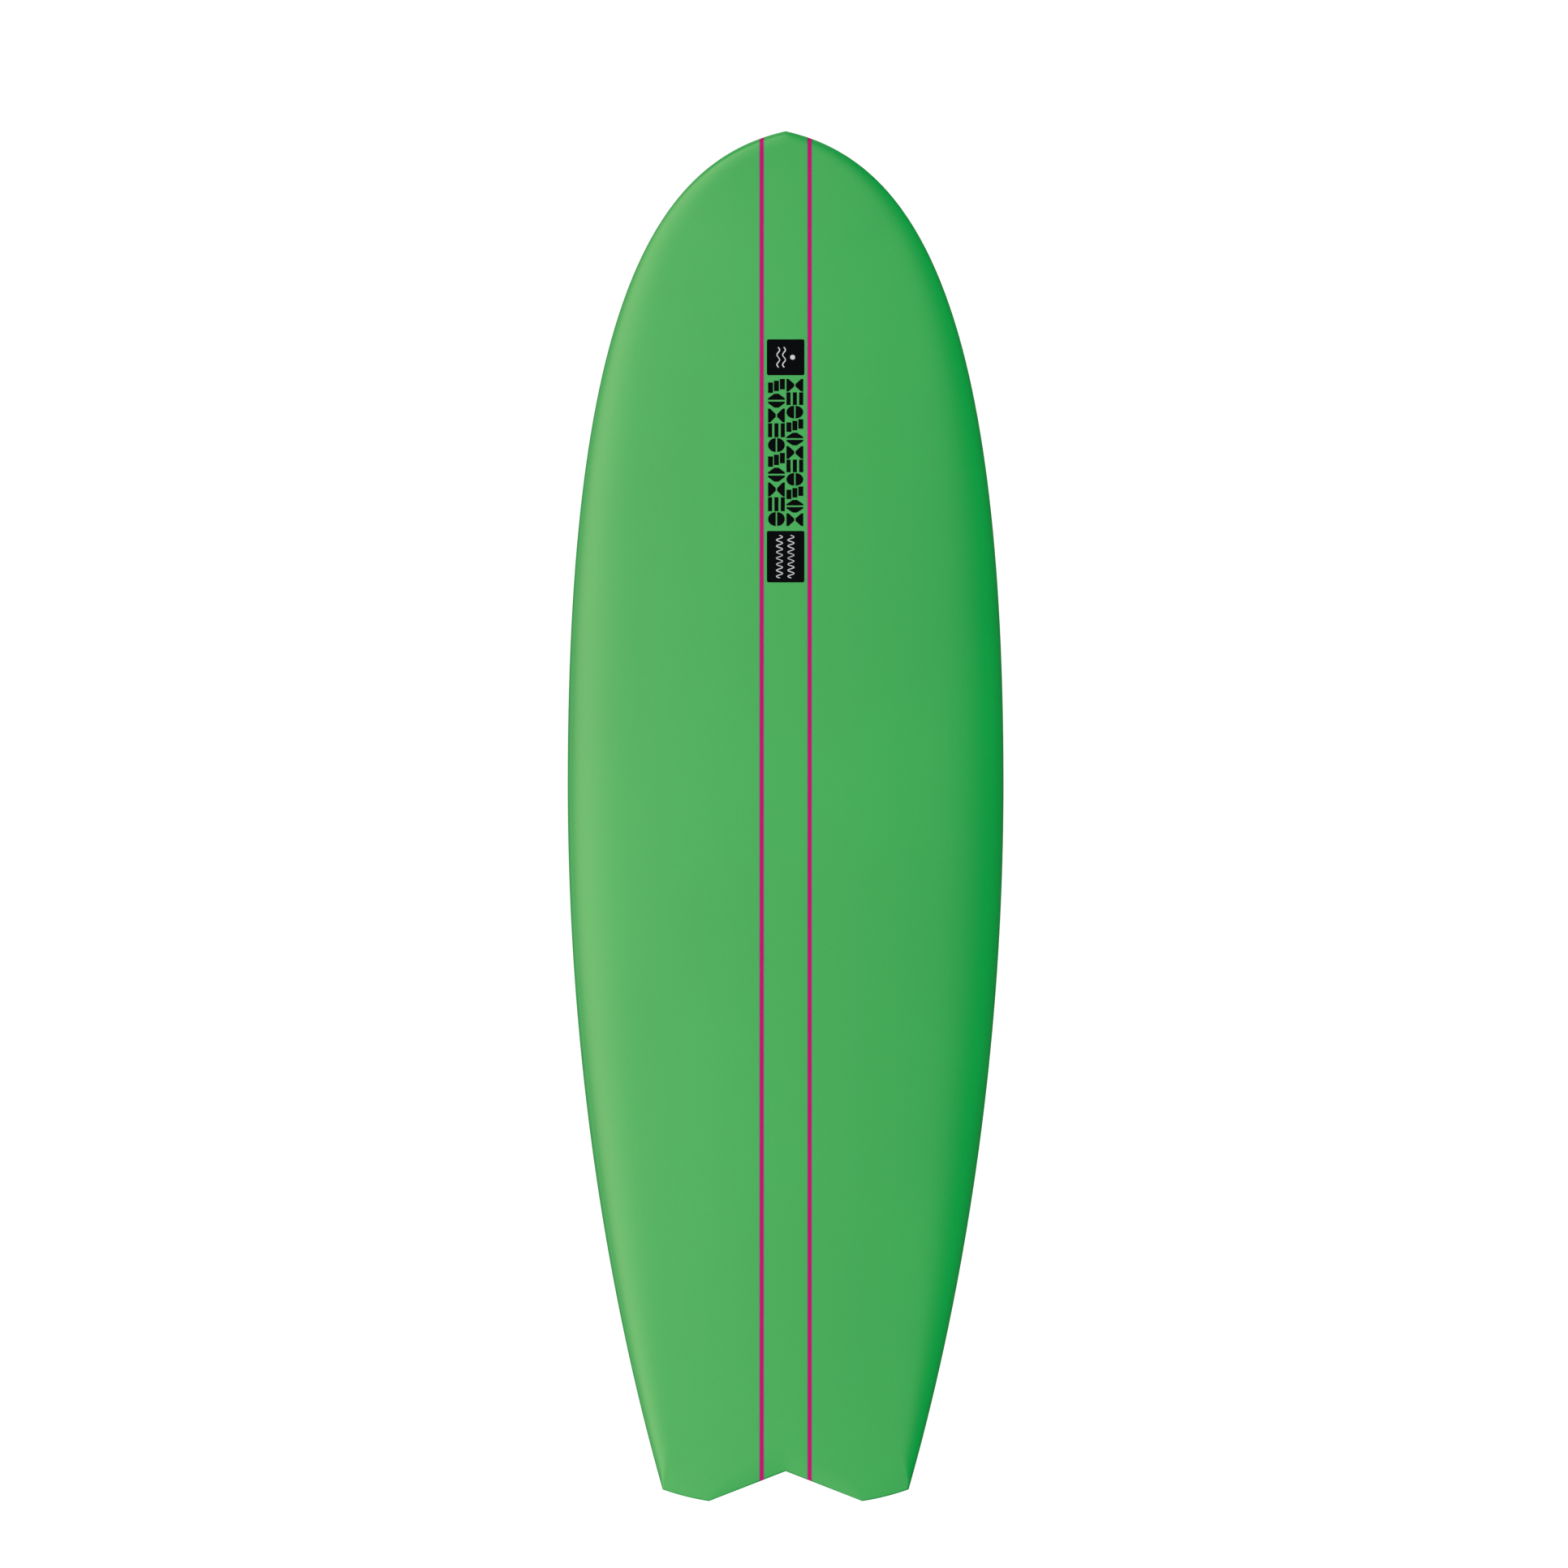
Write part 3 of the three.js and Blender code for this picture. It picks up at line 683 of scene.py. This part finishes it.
def fin_blade(name, flat_side):
    """A foiled, swept blade; flat_side is 0 for a fin foiled on both sides, or the side that is flat."""
    half = FIN_BASE / 2
    lead = [(half, 0), (half - 20 * MM, 44 * MM), (-6 * MM, 104 * MM), (-half - 11 * MM, FIN_DEPTH)]
    trail = [(-half, 0), (-half + 20 * MM, 34 * MM), (-half + 4 * MM, 86 * MM),
             (-half - 18 * MM, FIN_DEPTH - 3 * MM)]
    lead = np.vstack([lead[0], bezier(lead, BLADE_ROWS)])
    trail = np.vstack([trail[0], bezier(trail, BLADE_ROWS)])
    heights = np.linspace(0, 1, BLADE_ROWS + 1)
    rounded = np.sqrt(1 - np.clip((heights - 0.9) / 0.1, 0, 1) ** 2)
    depths = mix(FIN_THICKNESS, FIN_TIP_THICKNESS, heights**1.3) * rounded
    parts = (1 - np.cos(np.linspace(0, math.pi, CHORD_POINTS))) / 2
    vertices, core, faces = [], [], []
    for front, back, height, depth in zip(lead, trail, heights, depths):
        for side in (1, -1):
            for part in parts if side == 1 else parts[::-1]:
                thick = depth * foil(part)
                if flat_side == 0:
                    x = side * thick / 2
                elif side == flat_side:
                    x = flat_side * FIN_THICKNESS / 2
                else:
                    x = flat_side * (FIN_THICKNESS / 2 - thick)
                place = mix(front, back, part)
                vertices.append((x, place[0], place[1] + FIN_LIFT))
                core.append(4 * part * (1 - part) * (1 - height**3))
    around = 2 * len(parts)
    for row in range(BLADE_ROWS):
        for i in range(around):
            j = (i + 1) % around
            a, b = row * around, (row + 1) * around
            faces.append((a + i, b + i, b + j, a + j))
    for i in range(len(parts) - 1):
        top = BLADE_ROWS * around
        quad = (i, i + 1, around - 2 - i, around - 1 - i)
        faces.append(quad)
        faces.append(tuple(top + v for v in reversed(quad)))
    mesh = bpy.data.meshes.new(name)
    mesh.from_pydata(vertices, [], faces)
    mesh.attributes.new("core", "FLOAT", "POINT").data.foreach_set("value", np.array(core, np.float32))
    made = new_object(name, mesh)
    tidy_mesh(made, 0.9)
    return made


def fin(name, matrix, flat_side, spacing):
    """A blade with its two tabs."""
    made = fin_blade(f"fin_{name}_blade", flat_side)
    tabs = []
    for end in (1, -1):
        middle = end * spacing / 2
        low = (-FIN_THICKNESS / 2, middle - TAB_LENGTH / 2, -TAB_DEPTH)
        high = (FIN_THICKNESS / 2, middle + TAB_LENGTH / 2, FIN_LIFT + 0.4 * MM)
        tab = box_object("tab", low, high)
        bevel_edges(tab, 0.6 * MM, 3)
        tidy_mesh(tab)
        tabs.append(tab)
    cut(made, tabs, "UNION")
    tidy_mesh(made, 0.9)
    made.data.transform(matrix)
    dress(made, COMPOSITE)
    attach(made, f"fin_{name}")
    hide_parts(f"fin_{name}")


def beside_tab(made, side):
    """Moves a shape drawn along the screw's axis, tip at the origin, to its place by the tab."""
    x, z = screw_tip(side)
    made.data.transform(Matrix.Translation((x, 0, z)) @ Matrix.Rotation(side * SCREW_TILT, 4, "Y"))
    return made


def screw(label, seat, side):
    """A coned grub screw: ridges for its thread, and a hexagonal socket."""
    thread_top = SCREW_LENGTH - 0.7 * MM
    turns = np.arange(SCREW_CONE + 0.2 * MM, thread_top, THREAD_PITCH)
    profile = [(0, 0), (SCREW_TIP - 0.3 * MM, 0), (SCREW_TIP, 0.2 * MM)]
    for height in turns:
        profile.append((SCREW_RADIUS - 0.3 * MM, height))
        profile.append((SCREW_RADIUS, height + 0.32 * MM))
    profile += [(SCREW_RADIUS - 0.15 * MM, thread_top), (SCREW_RADIUS - 0.6 * MM, SCREW_LENGTH)]
    made = lathe(f"screw_{label}_steel", profile + [(0, SCREW_LENGTH)], ROUND_SIDES)
    cut(made, [post("socket", SOCKET_RADIUS, SCREW_LENGTH - SOCKET_DEPTH, SCREW_LENGTH + 1 * MM, 6)])
    tidy_mesh(made, 0.5)
    beside_tab(made, side).data.transform(seat)
    dress(made, STEEL)
    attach(made, f"screw_{label}")
    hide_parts(f"screw_{label}")


def plug(label, seat, side):
    """The cup: a turned body with a grooved rim, made flush with the bottom, slotted and bored."""
    above, inwards = seat @ Vector((0, 0, 30 * MM)), seat.to_3x3() @ Vector((0, 0, -1))
    hit, normal, _, _ = bottom_tree.ray_cast(above, inwards)
    local = seat.to_3x3().inverted() @ normal
    lift = (seat.inverted() @ hit).z + 0.15 * MM
    r = PLUG_RADIUS
    foot = [(0, -PLUG_DEPTH), (r - 1 * MM, -PLUG_DEPTH), (r, 1 * MM - PLUG_DEPTH)]
    rim = [(r, -1.2 * MM), (r - 0.1 * MM, -0.2 * MM), (r - 0.4 * MM, 0), (r - 1.6 * MM, 0)]
    groove = [(r - 1.8 * MM, -GROOVE_DEPTH), (r - 2.3 * MM, -GROOVE_DEPTH), (r - 2.5 * MM, 0)]
    made = lathe(f"plug_{label}_cup", foot + rim + groove + [(r / 2, 0), (0, 0)], 2 * ROUND_SIDES)
    for vertex in made.data.vertices:
        if vertex.co.z > -2 * MM:
            vertex.co.z += lift - (local.x * vertex.co.x + local.y * vertex.co.y) / local.z
    slot_low = (-FIN_THICKNESS / 2 - CLEARANCE, -TAB_LENGTH / 2 - CLEARANCE, -TAB_DEPTH - CLEARANCE)
    slot = box_object("slot", slot_low, (-slot_low[0], -slot_low[1], 8 * MM))
    bore = post("bore", SCREW_RADIUS + CLEARANCE, -CLEARANCE, 20 * MM, ROUND_SIDES)
    cut(made, [slot, beside_tab(bore, side)])
    bevel_edges(made, 0.22 * MM, 2, 0.9)
    tidy_mesh(made, 0.6)
    made.data.transform(seat)
    dress(made, PLASTIC)
    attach(made, "root")
    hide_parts(f"plug_{label}")


holes = []
for name, flat_side in (("right", 1), ("left", -1), ("center", 0)):
    matrix, side, spacing = fin_frame(name)
    fin(name, matrix, flat_side, spacing)
    for place, end in (("front", 1), ("rear", -1)):
        seat = matrix @ Matrix.Translation((0, end * spacing / 2, 0))
        screw(f"{name}_{place}", seat, side)
        plug(f"{name}_{place}", seat, side)
        hole = post("hole", PLUG_RADIUS + 0.1 * MM, -PLUG_DEPTH, 8 * MM, 2 * ROUND_SIDES)
        hole.data.transform(seat)
        holes.append(hole)
cut(bottom, holes)
tidy_mesh(bottom)


# ---- printed graphics ----
INK_LIFT, INK_DEPTH = 0.14 * MM, 0.1 * MM
MARK_LIFT, MARK_DEPTH = 0.2 * MM, 0.04 * MM
LONGEST_EDGE = 8 * MM
INK = print_material("print_ink", (0.0022, 0.0027, 0.0034, 1))
MARK = print_material("print_mark", (0.62, 0.62, 0.62, 1))


def rounded(width, height, radius, count=6):
    """A rounded rectangle's outline about the origin."""
    points = []
    for quarter, (side_u, side_v) in enumerate(((1, 1), (-1, 1), (-1, -1), (1, -1))):
        u, v = side_u * (width / 2 - radius), side_v * (height / 2 - radius)
        for step in range(count + 1):
            angle = (quarter + step / count) * math.pi / 2
            points.append((u + radius * math.cos(angle), v + radius * math.sin(angle)))
    return points


def arc(u, v, radius, start, end, count):
    turns = np.linspace(start, end, count)
    return [(u + radius * math.cos(a), v + radius * math.sin(a)) for a in turns]


def stroke(points, width):
    """A pen stroke's outline along points, with round ends and a slightly uneven width."""
    line = np.array(points, float)
    along = np.gradient(line, axis=0)
    along /= np.linalg.norm(along, axis=1)[:, None]
    side = np.stack([-along[:, 1], along[:, 0]], 1)
    half = width / 2 * (1 + 0.15 * np.sin(9 * np.linspace(0, 1, len(line))))[:, None]
    ends = []
    for centre, direction, size in ((line[-1], along[-1], half[-1, 0]), (line[0], -along[0], half[0, 0])):
        start = math.atan2(direction[1], direction[0]) + math.pi / 2
        ends.append(arc(*centre, size, start, start - math.pi, 9)[1:-1])
    return np.vstack([line + side * half, ends[0], (line - side * half)[::-1], ends[1]])


def ripple(length, height, swing, cycles):
    """A wavy line's points, centred on u = 0."""
    us = np.linspace(-length / 2, length / 2, 14 * cycles + 1)
    return [(u, height + swing * math.sin(2 * math.pi * cycles * (u / length + 0.5))) for u in us]


def printed(name, node, shapes):
    """Thin sheets that follow the deck. A shape is (outline, mark): the print reads towards the tail, along
    u, with v to the right of the board; both start from the middle of the CAD node. Ink lies under marks."""
    low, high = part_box(node)
    middle_x, middle_y = (low.x + high.x) / 2, (low.y + high.y) / 2
    made = new_object(name, bpy.data.meshes.new(name))
    dress(made, INK, MARK)
    for points, mark in shapes:
        bm = bmesh.new()
        bm.faces.new([bm.verts.new((middle_x + v, middle_y - u, 0)) for u, v in points])
        bmesh.ops.triangulate(bm, faces=bm.faces)
        for _ in range(4):
            long_edges = [edge for edge in bm.edges if edge.calc_length() > LONGEST_EDGE]
            if long_edges:
                bmesh.ops.subdivide_edges(bm, edges=long_edges, cuts=1)
                bmesh.ops.triangulate(bm, faces=bm.faces)
        for face in bm.faces:
            face.material_index = int(mark)
            if face.normal.z < 0:
                face.normal_flip()
        lift = MARK_LIFT if mark else INK_LIFT
        for vertex in bm.verts:
            hit, normal, _, _ = deck_point(vertex.co.x, vertex.co.y)
            vertex.co = hit + normal * lift
        sheet = new_object("sheet", bpy.data.meshes.new("sheet"))
        dress(sheet, INK, MARK)
        bm.to_mesh(sheet.data)
        bm.free()
        solidify = sheet.modifiers.new("thickness", "SOLIDIFY")
        solidify.thickness = MARK_DEPTH if mark else INK_DEPTH
        solidify.offset = -1
        apply_modifiers(sheet)
        join(made, sheet)
    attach(made, "root")
    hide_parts(node)


def size_of(node):
    low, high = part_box(node)
    return high.y - low.y, high.x - low.x


def badge():
    """A rounded square with a plain mark: a disc over two ripples."""
    length, width = size_of("paper_badge")
    disc = arc(0, 8.5 * MM, 3.0 * MM, 0, 2 * math.pi, 33)[:-1]
    ripples = [stroke(ripple(24 * MM, v, 1.7 * MM, 2), 1.25 * MM) for v in (-2 * MM, -9 * MM)]
    shapes = [(rounded(length, width, 2.2 * MM), False), (disc, True)]
    printed("print_badge", "paper_badge", shapes + [(line, True) for line in ripples])


def tag():
    """A rounded rectangle with two rows of loose scribble."""
    length, width = size_of("paper_tag")
    shapes = [(rounded(length, width, 2.2 * MM), False)]
    for v in (6.5 * MM, -7.5 * MM):
        shapes.append((stroke(ripple(length - 11 * MM, v, 3.8 * MM, 7), 1.0 * MM), True))
    printed("print_tag", "paper_tag", shapes)


def block(u_low, u_high, v_low, v_high):
    return [(u_low, v_low), (u_high, v_low), (u_high, v_high), (u_low, v_high)]


def bars(u, v):
    """Three bars along u."""
    return [block(-u, u, middle - 0.25 * v, middle + 0.25 * v) for middle in (-0.75 * v, 0, 0.75 * v)]


def hourglass(u, v):
    """Two blunt wedges, points together."""
    return [[(-u, s * v), (u, s * v), (u, s * 0.75 * v), (0.2 * u, s * 0.07 * v), (-0.2 * u, s * 0.07 * v),
             (-u, s * 0.75 * v)] for s in (1, -1)]


def split_diamond(u, v):
    """Two blunt wedges, backs together."""
    return [[(s * 0.12 * u, v), (s * 0.35 * u, v), (s * u, 0.25 * v), (s * u, -0.25 * v), (s * 0.35 * u, -v),
             (s * 0.12 * u, -v)] for s in (1, -1)]


def steps(u, v):
    """Three broad slabs, stepping across the block."""
    return [block(-u, 0.5 * u, 0.4 * v, v), block(-0.75 * u, 0.75 * u, -0.3 * v, 0.3 * v),
            block(-0.5 * u, u, -v, -0.4 * v)]


def shells(u, v):
    """Two half-discs, drawn out to fill the block, backs together."""
    halves = []
    for s in (1, -1):
        rounds = arc(0, 0, 1, 0, math.pi, 17)
        halves.append([(u * a, s * (0.08 * v + 0.92 * v * b)) for a, b in rounds])
    return halves


def pattern():
    """Two rows of plain geometric blocks, cut to fill the strip between the stringers."""
    length, width = size_of("paper_stripes")
    motifs = (hourglass, bars, shells, steps, split_diamond)
    row_width, row_gap = 0.45 * width, 0.04 * width
    shapes = []
    for row, (count, v) in enumerate(((11, 1), (10, -1))):
        pitch = length / count
        for i in range(count):
            middle = ((i + 0.5) * pitch - length / 2, v * (row_gap + row_width) / 2)
            for outline_points in motifs[(i + 3 * row) % len(motifs)](0.475 * pitch, row_width / 2):
                shapes.append(([(u + middle[0], w + middle[1]) for u, w in outline_points], False))
    printed("print_pattern", "paper_stripes", shapes)


badge()
pattern()
tag()

# ---- skins and core finished ----
for made, node, material in (
    (deck, "deck_skin", laminate_material("deck_laminate", 0.17, 0.0)),
    (bottom, "bottom_skin", laminate_material("bottom_laminate", 0.2, 0.6)),
):
    dress(made, material)
    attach(made, "root")
    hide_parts(node)

foam, wood = foam_material(), stringer_material()
for name, node in frame["nodes"].items():
    if name.startswith("foam"):
        dress(node, foam)
    if name.startswith("stringer"):
        dress(node, wood)

# ---- stage, light and camera ----
FLOOR_DROP = 4 * MM
FLOOR_SIZE = 14
FLOOR_GLOW = 0.92
FLOOR_BOUNCE = (0.85, 0.02)  # how much it lights the board, on the key light's side and on the other
KEY_SIDE = math.radians(46)  # the big soft light stands this far over to the board's left
KEY_STRENGTH = 4.7
KEY_FOCUS = 2.65
KEY_ENDS = (0.38, 0.72)  # the y of the directions between which it fades, towards nose and tail
KEY_COOL = (1.0, 1.05, 0.78, 1)
KEY_WARM = (1.0, 0.8, 0.64, 1)
EVEN, EVEN_SLOPE = 1.31, 1.1  # the light all round, and how much more of it comes from the right
EVEN_END = (0.55, 0.65)  # the x of the directions between which it fades out on the right
WHITE = 1.05  # what the camera sees of the world, just past white


def floor():
    """A pale floor that glows softly, more on the side of the key light, and is clear from below."""
    low = cad_box[0].z - FLOOR_DROP
    half = FLOOR_SIZE / 2
    mesh = bpy.data.meshes.new("floor")
    corners = [(-half, -half, low), (half, -half, low), (half, half, low), (-half, half, low)]
    mesh.from_pydata(corners, [], [(0, 1, 2, 3)])
    made = new_object("floor", mesh)
    g = Surface("floor_paper")
    x, _, _ = g.axes(g.position())
    seen = g.node("ShaderNodeLightPath").outputs["Is Camera Ray"]
    bounce = g.ramp(x, -0.3, 0.3, *FLOOR_BOUNCE)
    glow = g.math("MAXIMUM", bounce, g.math("MULTIPLY", seen, FLOOR_GLOW))
    speckle = g.noise(g.position(), 90, 3)
    g.finish(
        Base_Color=g.mix(seen, grey(0.05), grey(0.25)), Roughness=0.9, Specular_IOR_Level=0.0,
        Emission_Color=grey(1.0), Emission_Strength=glow, Normal=g.bump(speckle, 0.05 * MM),
    )
    clear = g.node("ShaderNodeBsdfTransparent")
    behind = g.node("ShaderNodeNewGeometry").outputs["Backfacing"]
    share = g.node("ShaderNodeMixShader", i0=behind, i1=g.surface.outputs[0], i2=clear.outputs[0])
    g.end_in(share)
    dress(made, g.material)
    made.visible_glossy = False


def studio_world():
    """Soft light that is white to the eye, and not the same for matt shading and for reflections.

    Matt shading gets light that grows towards the right and fades out low down there. Reflections
    get one broad warm light on the left, a fill from below on that side, and a faint light at each end.
    No real studio does this: it is what makes the shading of the deck come out as in the photograph.
    """
    world = bpy.data.worlds.new("studio")
    world.cycles.sampling_method = "NONE"  # so that the light path below is known for all its light
    bpy.context.scene.world = world
    g = Graph(world, "ShaderNodeOutputWorld")
    x, y, z = g.axes(g.node("ShaderNodeTexCoord").outputs["Generated"])
    upwards, leftwards = g.math("MULTIPLY", z, math.cos(KEY_SIDE)), g.math("MULTIPLY", x, math.sin(KEY_SIDE))
    towards = g.math("SUBTRACT", upwards, leftwards)
    radius = g.math("SQRT", g.math("MAXIMUM", g.math("MULTIPLY_ADD", x, x, g.math("MULTIPLY", z, z)), 1e-4))
    facing = g.math("MAXIMUM", g.math("DIVIDE", towards, radius), 0.0)
    key = g.math("MULTIPLY", g.math("POWER", facing, KEY_FOCUS), KEY_STRENGTH)
    key = g.math("MULTIPLY", key, g.ramp(g.math("ABSOLUTE", y), *KEY_ENDS, 1.0, 0.2))
    below = g.ramp(g.math("DIVIDE", z, radius), 0.0, -0.4)
    fill = g.math("MULTIPLY", below, g.ramp(x, 0.1, -0.4, 0.1, 1.3))
    reflected = g.math("ADD", g.math("ADD", key, fill), g.ramp(g.math("ABSOLUTE", y), 0.6, 0.95, 0.0, 0.5))
    tint = g.mix(g.ramp(facing, 0.5, 1.0), KEY_COOL, KEY_WARM)
    glossy = g.node("ShaderNodeLightPath").outputs["Is Glossy Ray"]
    even = g.math("SUBTRACT", g.math("MULTIPLY_ADD", x, EVEN_SLOPE, EVEN), g.ramp(x, *EVEN_END, 0.0, 3.0))
    even = g.math("MAXIMUM", even, 0.0)
    seen = g.node("ShaderNodeLightPath").outputs["Is Camera Ray"]
    even = g.math("MAXIMUM", even, g.math("MULTIPLY", seen, WHITE))
    strength = g.math("MULTIPLY_ADD", g.math("SUBTRACT", reflected, even), glossy, even)
    g.end_in(g.node("ShaderNodeBackground", Color=g.mix(glossy, grey(1.0), tint), Strength=strength))


floor()
studio_world()
bpy.context.scene.view_settings.view_transform = "Standard"

# the width that the camera takes in, and its place over the deck, frame the board as in the photograph
FRAMED = 1.14455 * LENGTH
CAMERA_PLACE = (-0.0012 * LENGTH, 0.02346 * LENGTH, 3)
camera_data = bpy.data.cameras.new("camera")
camera_data.type = "ORTHO"
camera_data.ortho_scale = FRAMED
camera = new_object("camera", camera_data)
camera.location = CAMERA_PLACE
bpy.context.scene.camera = camera
